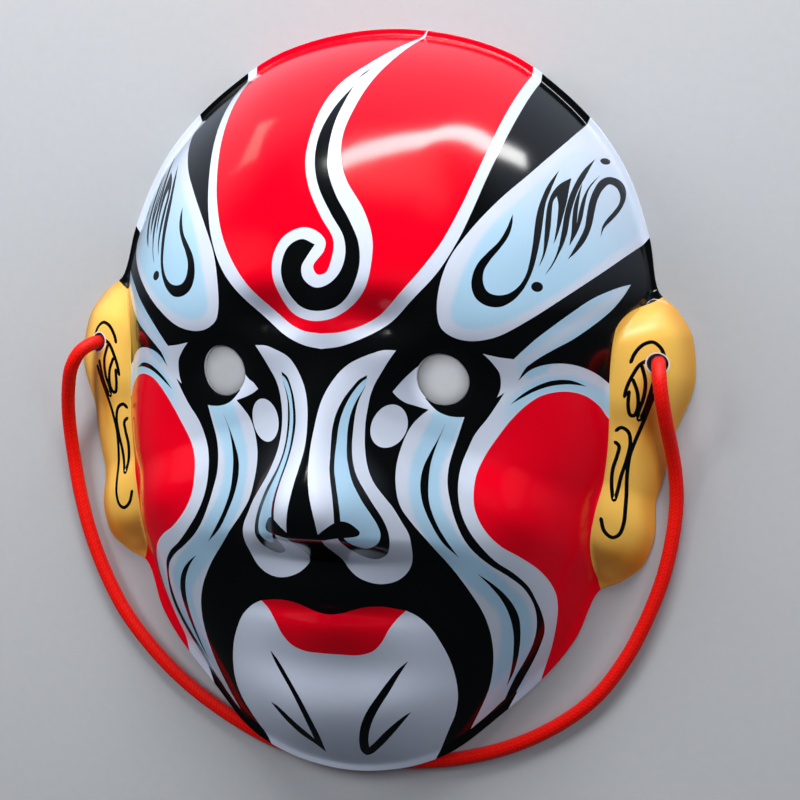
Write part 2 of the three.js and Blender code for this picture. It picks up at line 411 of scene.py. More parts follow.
def radial(half):
    # radius of an outline by direction, smooth between its points, without overshoot
    keys = sorted((math.atan2(y, x), math.hypot(x, y)) for x, y in half)
    angle = np.array([k[0] for k in keys])
    radius = np.array([k[1] for k in keys])
    slope = np.diff(radius) / np.diff(angle)
    tangent = np.zeros(len(keys))
    for i in range(1, len(keys) - 1):
        product = slope[i - 1] * slope[i]
        if product > 0:
            tangent[i] = 2 * product / (slope[i - 1] + slope[i])

    def at(x, y):
        a = np.arctan2(y, np.abs(x))
        i = np.clip(np.searchsorted(angle, a) - 1, 0, len(angle) - 2)
        width = angle[i + 1] - angle[i]
        t = np.clip((a - angle[i]) / width, 0, 1)
        q = 1 - t
        ends = radius[i] * q * q * (1 + 2 * t) + radius[i + 1] * t * t * (3 - 2 * t)
        return ends + width * t * q * (tangent[i] * q - tangent[i + 1] * t)

    return at


faceRim = radial(form["forehead"] + form["temple"] + form["jaw"])
outerRim = radial(form["forehead"] + form["ear"] + form["jaw"])


def hump(h, x, y):
    return h[0] * np.exp(-((x - h[1]) / h[3]) ** 2 - ((y - h[2]) / h[4]) ** 2)


def noseHeight(x, y):
    ridge = form["noseRidge"]
    height = ridge["height"] * smoothStep((ridge["top"] - y) / ridge["run"])
    height = height * np.exp(-(x / ridge["reach"]) ** 2) + sum(hump(h, x, y) for h in form["noseHumps"])
    return height * smoothStep((y - ridge["base"]) / ridge["baseRun"])


def faceHeight(x, y):
    dome = form["dome"]
    edge = faceRim(x, y) - form["flange"]
    u = np.minimum(np.hypot(x, y) / edge, 1)
    steep = dome["steepness"] * (1 + (edge / dome["radius"] - 1) * u * u)
    height = dome["height"] * (1 - dome["jawDrop"] * smoothStep(-y / dome["jawRun"]))
    relief = sum(hump(h, x, y) for h in form["humps"]) + noseHeight(x, y)
    return height * (1 - np.exp(-steep * (1 - u * u))) + relief * (1 - u ** form["reliefFade"])


def earHeight(x, y):
    ear = form["earDome"]
    rim = outerRim(x, y)
    depth = np.maximum(rim - ear["flange"] - np.hypot(x, y), 0)
    beside = np.sin(0.5 * np.pi * np.clip((rim - faceRim(x, y)) / ear["fade"], 0, 1))
    return beside * (ear["height"] + ear["lean"] * y) * (1 - np.exp(-depth / ear["rise"]))


def rimLift(x, y):
    # the chin's rim arches up, so that the elastic passes under it, and its flange rolls down
    chin = form["chinArch"]
    distance, rim = np.hypot(x, y), outerRim(x, y)
    arch = chin["rise"] * np.minimum(distance / rim, 1) ** 6
    roll = chin["roll"] * np.clip((distance - rim + form["flange"]) / form["flange"], 0, 1)
    return np.where(y > 0, 0, (arch - roll) * smoothStep((chin["halfWidth"] - np.abs(x)) / chin["run"]))


def sharpHeight(x, y):
    s = np.hypot(x, form["middleRound"])
    face, ear = faceHeight(s, y), earHeight(s, y)
    blend = np.maximum(1 - np.abs(face - ear), 0)
    fillet = np.where(ear > 0, blend * blend / 4, 0)
    return rimLift(x, y) + form["sheet"] + np.maximum(face, ear) + fillet


def sheetHeight(x, y):
    # averaged over a short radial reach, which rounds the crease along the flange
    distance = np.maximum(np.hypot(x, y), 1)
    steps = form["creaseReach"] * np.linspace(-1, 1, 9)
    weights = np.array([0.5, 1, 1, 1, 1, 1, 1, 1, 0.5]) / 8
    near = np.clip((outerRim(x, y) - distance) / form["creaseFade"], 0, 1)
    height = 0
    for weight, step in zip(weights, steps):
        grow = 1 + near * step / distance
        height = height + weight * sharpHeight(x * grow, y * grow)
    return height


def sheetSlope(x, y, reach=0.2):
    gx = (sheetHeight(x + reach, y) - sheetHeight(x - reach, y)) / (2 * reach)
    gy = (sheetHeight(x, y + reach) - sheetHeight(x, y - reach)) / (2 * reach)
    return gx, gy


# the printed pattern, in mm: outlines of the right half, mirrored for the left,
# and the few that stand alone; a third number marks a corner, or a stroke's width
pattern = {
    "foreheadEdge": [
        (49, 125, 1), (48, 104), (47.1, 93), (45.8, 82), (44, 71.5), (41.9, 61.5), (39.8, 52.5),
        (36.8, 43), (31.5, 32.7), (22, 22.5), (12.5, 15.2), (5.5, 12), (0, 11, 1), (0, 125, 1),
    ],
    "foreheadRed": [
        (45.6, 125, 1), (45, 104), (44, 92.5), (42.6, 82), (40.9, 71.5), (38.8, 61.5), (36.4, 52.5),
        (31.8, 41), (23, 28.5), (12, 19), (5.5, 16), (0, 15.3, 1), (0, 125, 1),
    ],
    "curlEdge": [
        (11, 116, 1), (7.3, 104), (3.5, 92.5), (1.4, 83.4), (0.1, 74), (1.3, 65.5), (4.1, 59.4),
        (10.1, 51), (13.4, 43.4), (14, 36.8), (12.6, 29), (7.7, 22.9), (2.3, 19.4), (-4, 19),
        (-10.6, 21.9), (-13.9, 27.6), (-15.3, 32.6), (-15.1, 37.8), (-12.5, 42.8), (-7.3, 45.4),
        (-3.4, 44.7), (0, 41.8), (0, 38.8), (-2.8, 34.2), (-1.4, 31.9), (1, 32.4), (2.4, 36.4),
        (2.4, 41.9), (-2.2, 48.8), (-7.1, 57.4), (-9.7, 65.7), (-9.8, 76), (-8.5, 85),
        (-5.5, 92.5), (0, 99.7), (5.5, 107.6),
    ],
    "curl": [
        (-1.3, 90.9, 1), (-5, 82.7), (-7.2, 73.4), (-6.6, 64.8), (-4.1, 57.5), (0.8, 49.5),
        (5.2, 43.1), (6.3, 37.7), (5, 32.5), (1.6, 29), (-1.9, 28.2), (-5.4, 30.5), (-6.3, 33.9),
        (-4.8, 37.2), (-2.9, 40.5, 1), (-7.1, 42), (-10.9, 39.7), (-12.5, 33.2), (-10.9, 27.6),
        (-6.8, 23), (-1.2, 21.6), (4, 22.9), (8, 26.9), (10.5, 33.8), (9.9, 40.8), (6.4, 47.8),
        (1.5, 55), (-2.1, 62.4), (-3.3, 68.6), (-3.4, 78), (-2.2, 86),
    ],
    "curlTip": [(1.5, 97.6, 0), (0.2, 95.6, 0.5), (-1.2, 93.2, 0)],
    "brow": [
        (67, 98, 1), (63.5, 88.5), (59, 77), (53, 66), (46, 56), (39.5, 46), (35, 37.5),
        (32.9, 29), (32.6, 22), (33.7, 18.3), (37, 16), (41.5, 15.3), (48, 16.8), (56, 22),
        (64.5, 29.5), (73.5, 39), (83.5, 52), (95, 67, 1),
    ],
    "browBlue": [
        (36.3, 21.5), (37.5, 29.5), (41, 40), (46, 50), (50, 55.5), (56, 64.5), (63, 76), (74, 70),
        (80.5, 53.5), (73.5, 42.5), (64.5, 32), (55, 24), (48.5, 20), (44, 18.7), (39, 18.8),
    ],
    "leaf": [
        (80, 36.5, 1), (77, 34.7), (71.5, 30.5), (67, 26), (62.5, 21.5), (58, 17), (52.5, 11, 1),
        (55.5, 9, 1), (59, 12), (63, 15), (67, 18), (72, 23), (76, 28), (78.5, 32.5),
    ],
    "almond": [
        (19.5, 0, 1), (20.5, -1.2), (22.5, -2.7), (25.5, -3.6), (29, -4.5, 1), (32, -4.5, 1),
        (31, 5, 1), (28.7, 9.3, 1), (25.5, 6.7), (22.5, 3.7),
    ],
    "leftAlmond": [
        (-33, 0, 1), (-26.5, 4, 1), (-24.3, 1.8), (-23.1, 1.2), (-21.1, -0.8, 1), (-23.2, -2.1),
        (-25.9, -3.2), (-29.7, -4.4, 1),
    ],
    "sidePanel": [
        (44.5, 12, 1), (33, 5, 1), (29, -4.5, 1), (26.8, -6.5), (24.3, -9.5), (22.2, -14.5),
        (21, -20.5), (21.2, -26.5), (22.7, -32.5), (26, -37.5), (29.5, -41.7), (33, -46),
        (37, -51), (40.5, -56.3), (43.5, -62), (45.1, -67.7), (45.5, -74), (44.8, -80.5),
        (43.2, -86.7), (40.5, -93), (37, -100, 1), (42.5, -94.7), (46.5, -90.5), (50, -88, 1),
        (46.3, -96, 1), (62, -92, 1), (100, -62, 1), (100, 4, 1), (76, 6.2, 1), (72.5, 9), (68.5, 10.6),
        (64.5, 10.9), (60, 10), (56.5, 8.2), (53.5, 5, 1), (55, 8), (56, 9.5, 1), (52.5, 11, 1),
        (48.5, 11.3),
    ],
    "eyeRing": [
        (44.5, 12, 1), (46, 10.6), (47.6, 8.7), (48.7, 6.9), (49, 4.5), (48.8, 2.3), (48, 0, 1),
        (39.5, -6, 1), (36.5, -6.2), (33.7, -5.8), (31.3, -4.7), (29.4, -3), (28, -1.3, 1), (31, 5, 1),
    ],
    "groove": [
        (39, -6, 1), (37.3, -11.5), (35.8, -16.5), (35, -21), (35, -25.7), (36, -30.5), (37.7, -36),
        (40, -41), (42.7, -44.6), (47, -48.3), (51.7, -51.5), (55, -54.6), (57, -58.8), (57.6, -63),
        (57.1, -68), (55.5, -73), (53, -78), (50.5, -82.3), (48, -87.3), (46.5, -90.5),
        (42, -98, 1), (46.5, -96, 1), (49, -89.5), (52.2, -83.5), (55.2, -78), (57.7, -72.6), (59.2, -67.8),
        (59.1, -63.2), (58, -58.5), (56.4, -54.2), (53.2, -50.5), (48.7, -47.2), (45, -43.3),
        (41.5, -38.5), (39.2, -33.5), (38.2, -29), (38, -24), (38.6, -19.5), (40, -15.3),
        (42, -10.8), (45.5, -6), (48, -2), (50, 1.5, 1), (48, 0, 1),
    ],
    "cheek": [
        (76.5, -4.5), (73.5, -0.3), (70, 2.3), (65.5, 3), (60, 1.5), (56, -1.5), (52, -6),
        (48.5, -11), (45, -16.7), (43, -22), (42.5, -27.3), (43, -32), (44.6, -36), (47, -39.5),
        (50.5, -42.8), (55, -45.5), (59, -48.7), (61.5, -52.3), (62.9, -56.5), (63, -61),
        (62, -67), (60.3, -73.5), (58.2, -79.5), (57, -84), (56, -90, 1), (95, -62, 1), (95, -14, 1),
    ],
    "crescent": [
        (51.6, -1.8, 1), (54.6, 1.3), (58.8, 4.3), (62.8, 6), (66.8, 6.3), (70.4, 5, 1), (67, 5.2),
        (64.4, 4.9), (61.4, 4.1), (57.8, 2.4), (54.6, 0.3),
    ],
    "slits": [
        [
            (33.8, -8, 1), (31.8, -12.4), (29.6, -17), (28, -21.2), (27.5, -25.8), (28.4, -31.2),
            (30.8, -37), (34, -42.4), (38.4, -46.6, 1), (35, -41.6), (32.2, -36.6), (30.2, -31),
            (29.7, -25.8), (30, -20), (31.5, -14),
        ],
        [
            (43.2, -51, 1), (46.4, -53.2), (49.6, -56.2), (51.9, -59.8), (53.1, -63.8), (53, -69),
            (51.8, -75.6), (50, -81.2), (47.6, -86.2, 1), (49.5, -80), (50.7, -74), (51.2, -68.4),
            (50.7, -63.4), (49.2, -58.8), (46.5, -54.6),
        ],
    ],
    "noseEdge": [
        (21, 11.6, 1), (17.5, 11.5), (14.5, 10.5), (11, 9), (8, 7.3), (5.5, 5), (3.5, 2), (2, -1.2),
        (1, -4.5), (0.4, -8), (0, -12), (-0.2, -16), (0, -20), (0.5, -24), (1.2, -27), (2.1, -30.3),
        (3.1, -33.5), (4, -37), (4.6, -41.5, 1), (5, -43, 1), (4.6, -46.5), (5.5, -50.3), (8.5, -53.5),
        (12.3, -55.2), (16, -55.6), (20, -54.5), (23, -52), (24.8, -48.5), (25.5, -44.3),
        (25, -40.5), (23.2, -37), (21, -33), (18.5, -29.6), (16, -26), (14.2, -22), (13, -17.5),
        (12.5, -13), (12.5, -8.5), (13, -4.5), (13.7, -1), (15, 2.3), (16.6, 5), (18.6, 8.2),
    ],
    "noseLines": [
        (12.8, 4.3, 1), (10.6, 2.9), (8.8, 0.6), (7.2, -1.9), (6, -4.6), (5.1, -7.8), (4.7, -11.2),
        (4.8, -14.8), (5.2, -19), (5.8, -23), (7, -27.2), (8.1, -31.2), (8.7, -35), (8.8, -38, 1),
        (9.2, -42.2, 1), (10.2, -45.6), (12, -47.6), (14.4, -48.3), (16.6, -47.8), (18.8, -46.3),
        (20.1, -43.7), (20.2, -41), (19.5, -38.2), (18.2, -35.2), (16.4, -32), (14.6, -28.8),
        (12.7, -25.6), (11.2, -22.4), (10.2, -19), (9.7, -15.5), (9.6, -11.8), (9.7, -8.8),
        (10, -5.8), (10.6, -3), (12.3, 1.2, 1),
    ],
    "noseBlue": [
        (13, 3.6, 1), (11.2, 2.2), (9.8, 0.4), (8.4, -2), (7.3, -4.8), (6.5, -7.8), (6.1, -11),
        (6.1, -14.8), (6.3, -19), (6.9, -23), (8.1, -27), (9.3, -31.2), (10, -35), (10.2, -38, 1),
        (10.6, -42.2, 1), (11.6, -43.7), (12.8, -44.6), (14.2, -45), (16.2, -44.3), (17.8, -42.9),
        (18.3, -40.8), (17.7, -38.2), (16.3, -35.3), (14.6, -32.2), (12.8, -28.8), (11.2, -25.6),
        (10, -22.4), (9, -19), (8.5, -15.5), (8.3, -11.5), (8.6, -7.8), (9.2, -5.2), (10.2, -2.6),
        (12.2, 1.2),
    ],
    "noseShift": {"most": 2.2, "from": 4, "across": 8.5, "foot": -38, "rise": 16},
    "nostril": [
        (4.2, -41.5, 1), (6, -40), (8.8, -37.8), (10.2, -37.2), (11.6, -37.5), (13, -38.7),
        (14, -40.3), (13.5, -41.3), (11.6, -41.8), (9.2, -42.1), (4.8, -43, 1),
    ],
    "oval": (18.6, -9.8, 4.6, 6.4, -20),
    "lips": [
        (-22.3, -63.2, 1), (-16, -62.4), (-11, -62.8), (-7.5, -63.8), (-4, -65), (0, -65.6),
        (4, -65), (7.5, -63.8), (11, -62.8), (16, -62.4), (22.3, -63.2, 1), (19.8, -65.7),
        (17.5, -69), (15.3, -73), (12.5, -75.9), (8.3, -77.4), (3, -77.6), (-3, -77.6),
        (-8.3, -77.4), (-12.5, -75.9), (-15.3, -73), (-17.5, -69), (-19.8, -65.7),
    ],
    "chin": [
        (0, -70, 1), (17, -66, 1), (22.3, -63.2, 1), (25.5, -64.8), (29, -68), (31.7, -72.5), (33.8, -77.6),
        (35, -83.3), (35.2, -88.8), (34, -94.5), (31.5, -100), (27.5, -108), (25, -113, 1), (0, -122, 1),
    ],
    "chinStrokes": [
        [
            (22.3, -78.4, 1), (19.1, -81.3), (16.1, -85.2), (13.3, -89.4), (10.3, -94), (7.9, -98.5),
            (6.4, -102.3), (5.4, -105.7), (5.1, -108.5), (6, -109.9), (7.7, -109.4), (11.9, -106),
            (16.3, -101.5), (19.8, -97.4), (22.5, -94, 1), (20.1, -95.7), (16.8, -98.5), (13.4, -101.7),
            (10.5, -104.6), (8, -106.8, 1), (8.5, -104.4), (9.5, -101.4), (11.3, -97.4), (13.6, -93.2),
            (16.5, -88.4), (19.2, -83.4),
        ],
        [
            (-20.3, -78.3, 1), (-18.3, -80.7), (-15.2, -85.2), (-12.3, -89.4), (-9.9, -93.4), (-7.9, -98.4),
            (-6.7, -104), (-6.9, -110.2, 1), (-8.5, -108.4), (-10.3, -106.7), (-12.9, -104.7),
            (-16, -101.4), (-19.1, -97.6), (-21.5, -94.5, 1), (-19.2, -95.6), (-16.5, -97.8),
            (-13.3, -100.9), (-10.9, -103.3), (-9, -105.5, 1), (-9.2, -102.8), (-10.1, -98.2),
            (-11.8, -93.6), (-14, -89.5), (-16.7, -85.5), (-19.2, -81.4),
        ],
    ],
    "gold": [
        (89, 34.5, 1), (85.5, 32), (82.3, 30.2), (79.4, 27.3), (77.3, 23.3), (76.5, 19), (76, 13),
        (75.8, 5.5), (76, -4.5), (75.7, -14), (74.5, -24.5), (73, -31.5), (72, -37.5), (71.6, -43),
        (72, -48.5), (73.6, -54.5), (75.5, -60, 1), (112, -58, 1), (112, 34, 1),
    ],
}

# the brow's brush strokes, as outlines, and its dots, as x, y, radius
pattern["browStrokes"] = [
    [
        (50.2, 52.6, 1), (50.4, 49.4), (49.8, 45.8), (48, 42), (45.8, 38.4), (44.4, 35), (44.5, 31.6),
        (45.7, 29.4), (47.8, 28.6), (50.8, 29.2), (53.4, 31.6), (55, 35), (55.7, 39.4), (56, 44.2),
        (56, 48.8), (56.1, 53.6), (56.6, 57.8), (57.6, 62.6), (59.6, 68.2, 1), (58.6, 61.8),
        (57.9, 57.4), (57.8, 53), (57.8, 48.6), (57.6, 44.6), (57.1, 39.6), (56.2, 35), (54.4, 30.4),
        (52, 27.2), (49, 25.3), (45.6, 25.4), (42.8, 27.2), (41.5, 30.4), (41.6, 33.8), (42.7, 37.2),
        (45, 40.6), (47.4, 43.8), (49, 47.6),
    ],
    [
        (58, 37.8, 1), (58.7, 42), (58.6, 47), (58.4, 52.6), (58.4, 57), (59, 60.4), (60.4, 63.6),
        (62.8, 66.2, 1), (62.8, 62.6), (62.8, 58.6), (62.5, 54.4), (62.1, 50.4), (61.6, 47.2),
        (61, 44.8, 1), (61.2, 48.6), (61.2, 52.4), (60.9, 57), (60.2, 59.6, 1), (59.6, 58),
        (59.6, 55), (59.8, 51.4), (59.8, 47.2), (59.4, 42.8), (58.8, 40),
    ],
    [
        (59.6, 35.4, 1), (61.4, 40), (62.3, 44.4), (62.6, 48.8), (62.7, 53.8), (63, 58.6),
        (63.8, 64), (65.2, 69.6), (67.2, 74.4, 1), (66, 67.6), (65, 62.8), (64.4, 58), (64.1, 53.6),
        (64, 49.4), (63.5, 45.8), (62.5, 42.2), (61.2, 38.4),
    ],
    [
        (65.6, 65.4, 1), (65.6, 60), (65.7, 55.6), (65.9, 52.2, 1), (66, 56), (66.4, 60.6),
        (67.4, 65), (69.2, 69, 1), (67.4, 63.4), (67.1, 59), (67, 54), (66.3, 49.6), (64.8, 45, 1),
        (64.9, 49.2), (64.7, 53), (64.6, 57.4), (65, 61.4),
    ],
    [
        (64.8, 41, 1), (66.6, 46.4), (67.8, 51), (67.9, 55.4), (68, 59.6), (68.6, 64.2),
        (69.7, 67.6), (71.4, 69.2), (73.6, 69), (75.3, 67), (76, 63.6), (75.4, 59.2), (73.9, 55.4),
        (72.4, 52.4), (71.8, 49.2, 1), (71.9, 52.8), (72.7, 55.4), (73.9, 58.2), (74.8, 61.4),
        (74.5, 64.2), (73.2, 66.3), (71.8, 66.7), (70.6, 64.6), (69.8, 60.8), (69.6, 56.8),
        (69.4, 52.2), (68.4, 47.4), (66.5, 43.4),
    ],
]
pattern["browDots"] = [(69.5, 74.2, 1.15), (58, 32, 1.45)]

# how wide the ink leaves a bare ring round each ear hole
pattern["bareRing"] = 0.4

# pen lines on the ears, each along x, y
pattern["penWidth"] = 1.1
pattern["earLines"] = [
    [(81.6, 12.6), (82.6, 15.4), (84.8, 18.3), (87.6, 19.4), (89.9, 17.8), (90.9, 15.4), (91, 12.4)],
    [(87.8, 12.4), (86.2, 13.5), (84.4, 12.5), (82.4, 9.2), (80.9, 5.6), (80.2, 2.4)],
    [(81.6, 4.8), (81.4, 0), (82, -2.5), (83, -2.6), (84, -0.8), (84, 4), (82.4, 8.4)],
    [(84.8, 12.6), (86.1, 7.6), (85.7, 2.8), (84.2, -2), (84.4, -3.9), (86, -1), (87.5, 4), (88.4, 7.6)],
    [
        (89.4, 6), (86.2, -2.8), (83.4, -10.2), (82, -14.8), (81.4, -21), (81.4, -29), (81.1, -35),
        (79.9, -38.2), (78, -39.1), (75.8, -37.4), (74.6, -33.2),
    ],
    [
        (77.6, -7.6), (79.4, -6.3), (81.4, -7.4), (82.1, -10.6), (81.2, -15.8), (79.8, -20.6),
        (78.1, -28), (77.2, -24.2), (77.3, -19), (78.5, -14.6), (78.9, -11.8), (77.4, -10.4),
    ],
]


def ovalLoop(x, y, acrossHalf, upHalf, tilt):
    turn = 2 * math.pi * np.arange(48) / 48
    c, s = math.cos(math.radians(tilt)), math.sin(math.radians(tilt))
    u, v = acrossHalf * np.cos(turn), upHalf * np.sin(turn)
    return np.stack([x + c * u - s * v, y + s * u + c * v], 1)


def paintLayers():
    # what is printed over what, from the first ink to the last
    layers = []

    def both(ink, loop):
        layers.extend([(ink, loop), (ink, mirrored(loop))])

    both("white", outline(pattern["foreheadEdge"]))
    both("red", outline(pattern["foreheadRed"]))
    layers.append(("white", outline(pattern["curlEdge"])))
    layers.append(("black", outline(pattern["curl"])))
    layers.append(("black", stroke(pattern["curlTip"])))
    both("white", outline(pattern["brow"]))
    for points in pattern["browStrokes"]:
        both("black", outline(points, 0.5))
    for x, y, radius in pattern["browDots"]:
        both("black", ovalLoop(x, y, radius, radius, 0))
    both("white", outline(pattern["leaf"]))
    layers.append(("white", outline(pattern["almond"])))
    layers.append(("white", outline(pattern["leftAlmond"])))
    for ink, name in (("white", "sidePanel"), ("black", "eyeRing"), ("black", "groove"), ("red", "cheek")):
        both(ink, outline(pattern[name]))
    both("black", outline(pattern["crescent"], 0.5))
    for points in pattern["slits"]:
        both("black", outline(points))
    nose = (("white", "noseEdge"), ("black", "noseLines"), ("blue", "noseBlue"), ("black", "nostril"))
    for ink, name in nose:
        loop = outline(pattern[name], 0.5)
        layers.extend([(ink, loop), (ink, mirroredNose(loop))])
    both("white", ovalLoop(*pattern["oval"]))
    both("white", outline(pattern["chin"]))
    layers.append(("red", outline(pattern["lips"])))
    for points in pattern["chinStrokes"]:
        layers.append(("black", outline(points, 0.5)))
    both("gold", outline(pattern["gold"]))
    for points in pattern["earLines"]:
        both("black", stroke([(x, y, pattern["penWidth"]) for x, y in points], 0.5, True))
    # the ink stops a little short of the punched ear hole
    x, y, radius = form["earHole"]
    radius += pattern["bareRing"]
    both("bare", ovalLoop(x, y, radius, radius, 0))
    return layers


# the blue sprayed on the white ink, in mm on the right half: soft lines as points, half width
# and soft edge, and how the brow's blue pales upward
blueSpray = {
    "browSoft": (-0.6, 1.4),
    "browPale": {"most": 0.8, "tilt": 0.35, "from": 52, "run": 48},
    "leaf": [(79, 34.5), (73.5, 28), (68, 22.5), (61.5, 16), (56, 11)],
    "leafHalf": 5,
    "leafStreak": {"depth": 0.85, "reach": 1.5, "from": 52, "run": 4},
    "tear": [
        (34.5, -6), (31.5, -13), (29, -20), (28.6, -26), (30, -33), (33.5, -40), (38.5, -46.5),
        (43.5, -51.5), (48.5, -56.5), (51.5, -61), (52.3, -66), (51.6, -73), (49.6, -80), (47, -87),
    ],
    "tearHalf": 3.7,
    "tearEnd": (-92, 12),
    "cheek": [
        (46.5, -11), (50, -5), (54, -0.5), (58.5, 3), (63, 4.8), (68, 5), (72.5, 3), (76.5, -0.5),
    ],
    "cheekHalf": 1.8,
    "cheekStart": (47, 8),
    "softEdge": 0.9,
}


def airbrush(x, y):
    # how blue the white ink is, 0 to 1, on the right half and so on its mirror image
    p = np.stack([np.abs(x), y], 1)
    across, up = p.T

    def fromTo(value, start, run):
        return smoothStep((value - start) / run)

    def sprayed(line, half):
        return 1 - fromTo(distanceTo(p, throughPoints(line, False, 1)), half, blueSpray["softEdge"])

    browLoop = outline(pattern["browBlue"])
    depth = distanceTo(p, np.vstack([browLoop, browLoop[:1]])) * np.where(inside(p, browLoop), 1, -1)
    pale = blueSpray["browPale"]
    fade = 1 - pale["most"] * fromTo(pale["tilt"] * across + up, pale["from"], pale["run"])
    brow = fromTo(depth, *blueSpray["browSoft"]) * fade
    streak = blueSpray["leafStreak"]
    fromLeaf = distanceTo(p, np.array(blueSpray["leaf"], float))
    leaf = 1 - streak["depth"] * np.exp(-(fromLeaf / streak["reach"]) ** 2)
    leaf = np.where(fromLeaf < blueSpray["leafHalf"], leaf, 0)
    leaf = leaf * fromTo(across, streak["from"], streak["run"])
    tear = sprayed(blueSpray["tear"], blueSpray["tearHalf"]) * fromTo(up, *blueSpray["tearEnd"])
    cheek = sprayed(blueSpray["cheek"], blueSpray["cheekHalf"]) * fromTo(across, *blueSpray["cheekStart"])
    return np.max([brow, leaf, tear, cheek], 0)


# the brown on the gold ink, part the ear's airbrushed orange toward its rim and part painted shade in the
# waist's hollow and under the lobe: spots as humps on the waist, lobe and top, and along the rim
brownSprayAndShade = {
    "spots": [(0.8, 87, -4, 3.2, 11), (0.75, 80, -45, 7, 4.5), (0.2, 79, 24, 3, 6)],
    "rim": 0.55,
    "rimReach": 6,
}


def earShade(x, y):
    # how brown the gold ink is, 0 to 1: airbrushed orange toward the rim, and painted shade at the waist
    # and under the lobe
    rimward = 1 - smoothStep((outerRim(x, y) - np.hypot(x, y)) / brownSprayAndShade["rimReach"])
    spots = sum(hump(h, np.abs(x), y) for h in brownSprayAndShade["spots"])
    return np.clip(spots + brownSprayAndShade["rim"] * rimward, 0, 1)


inks = ["black", "white", "red", "gold", "blue", "bare"]


def triangulate(loops, grid, inset):
    # a planar mesh with every loop's edges kept, and a grid of points inside the rim by the inset
    fixed, edges = [], []
    for loop in loops:
        start = len(fixed)
        fixed.extend(loop)
        edges.extend((start + i, start + (i + 1) % len(loop)) for i in range(len(loop)))
    fixed = np.array(fixed)
    halfAcross, halfUp = form["gridHalf"]
    rows = np.arange(-halfUp, halfUp, grid * math.sqrt(3) / 2)
    columns = np.arange(-halfAcross, halfAcross, grid)
    spots = np.array([(x + (i % 2) * grid / 2, y) for i, y in enumerate(rows) for x in columns])
    spots = spots[np.hypot(*spots.T) < outerRim(*spots.T) - inset]
    # a grid point in the same small cell as an outline's point would make slivers
    cell = 0.55 * grid
    taken = {(int(a), int(b)) for a, b in np.floor(fixed / cell)}
    spots = spots[[(int(a), int(b)) not in taken for a, b in np.floor(spots / cell)]]
    points = [Vector(p) for p in np.vstack([fixed, spots])]
    found = delaunay_2d_cdt(points, edges, [], 0, 1e-4)
    verts = np.array([tuple(v) for v in found[0]])
    return verts, np.array([f for f in found[2] if len(f) == 3])


def circle(x, y, radius, count):
    turn = 2 * math.pi * np.arange(count) / count
    return np.stack([x + radius * np.cos(turn), y + radius * np.sin(turn)], 1)


def boundaryLoops(triangles):
    # the open edges of a mesh, walked into closed loops
    ways = {}
    for a, b, c in triangles:
        for edge in ((a, b), (b, c), (c, a)):
            ways[edge] = True
    following = {a: b for a, b in ways if (b, a) not in ways}
    loops = []
    while following:
        first = next(iter(following))
        loop, at = [first], following.pop(first)
        while at != first:
            loop.append(at)
            at = following.pop(at)
        loops.append(loop)
    return sorted(loops, key=len, reverse=True)


def facingUp(verts, triangles):
    a, b, c = (verts[triangles[:, i]] for i in range(3))
    area = (b[:, 0] - a[:, 0]) * (c[:, 1] - a[:, 1]) - (c[:, 0] - a[:, 0]) * (b[:, 1] - a[:, 1])
    turned = np.where(area[:, None] > 0, triangles, triangles[:, ::-1])
    return turned[np.abs(area) > 1e-7]


def sheetPlan(loops, rim, holes, grid, inset):
    # the sheet seen from the front: triangles inside the rim and outside the holes
    verts, triangles = triangulate(loops, grid, inset)
    triangles = facingUp(verts, triangles)
    middle = verts[triangles].mean(1)
    keep = inside(middle, rim)
    for hole in holes:
        keep &= ~inside(middle, hole)
    used, triangles = np.unique(triangles[keep], return_inverse=True)
    return verts[used], triangles.reshape(-1, 3)


def printedFront():
    # the printed face: its plan, and the number of the ink on each triangle
    turn = 2 * math.pi * np.arange(form["rimPoints"]) / form["rimPoints"]
    cosine, sine = np.cos(turn), np.sin(turn)
    radius = outerRim(cosine, sine)
    rim, *rings = [
        np.stack([cosine, sine], 1) * (radius - inset)[:, None] for inset in (0, *form["rimRings"])]
    holes = []
    for (holeX, holeY, holeRadius), count in ((form["eyeHole"], 72), (form["earHole"], 36)):
        holes += [circle(s * holeX, holeY, holeRadius, count) for s in (1, -1)]
    layers = paintLayers()
    loops = [rim, *rings, *holes, *[loop for name, loop in layers]]
    verts, triangles = sheetPlan(loops, rim, holes, form["grid"], form["gridInset"])
    middle = verts[triangles].mean(1)
    ink = np.zeros(len(triangles), int)
    for name, loop in layers:
        ink[inside(middle, loop)] = inks.index(name)
    print("front triangulated", len(verts), len(triangles))
    return verts, triangles, ink


def unit(vectors):
    return vectors / np.linalg.norm(vectors, axis=1)[:, None]


def liftFront(verts):
    # the face's points on the moulded form, and their normals, which turn out over the cut edge
    x, y = verts.T
    fromRim = outerRim(x, y) - np.hypot(x, y)
    edge = form["cutEdge"]
    z = sheetHeight(x, y) - edge["round"] * (1 - np.clip(fromRim / edge["round"], 0, 1)) ** 2
    gx, gy = sheetSlope(x, y)
    outward = np.stack([x, y, np.zeros(len(x))], 1) / np.hypot(x, y)[:, None].clip(1)
    lean = np.where(fromRim < form["rimRings"][0] / 2, edge["tip"], edge["lean"])
    lean = lean * (fromRim < edge["bevel"])
    normals = unit(np.stack([-gx, -gy, np.ones(len(x))], 1)) + outward * lean[:, None]
    return np.stack([x, y, z], 1), unit(normals)


def liftBack(verts):
    # the back of the sheet, one thickness in along the normal
    x, y = verts.T
    gx, gy = sheetSlope(x, y, form["backGrid"] / 4)
    lean = np.sqrt(1 + gx * gx + gy * gy)
    z = np.maximum(sheetHeight(x, y) - form["sheet"] * lean, rimLift(x, y) + form["cutEdge"]["height"])
    return np.stack([x, y, z], 1), -np.stack([-gx, -gy, np.ones(len(x))], 1) / lean[:, None]


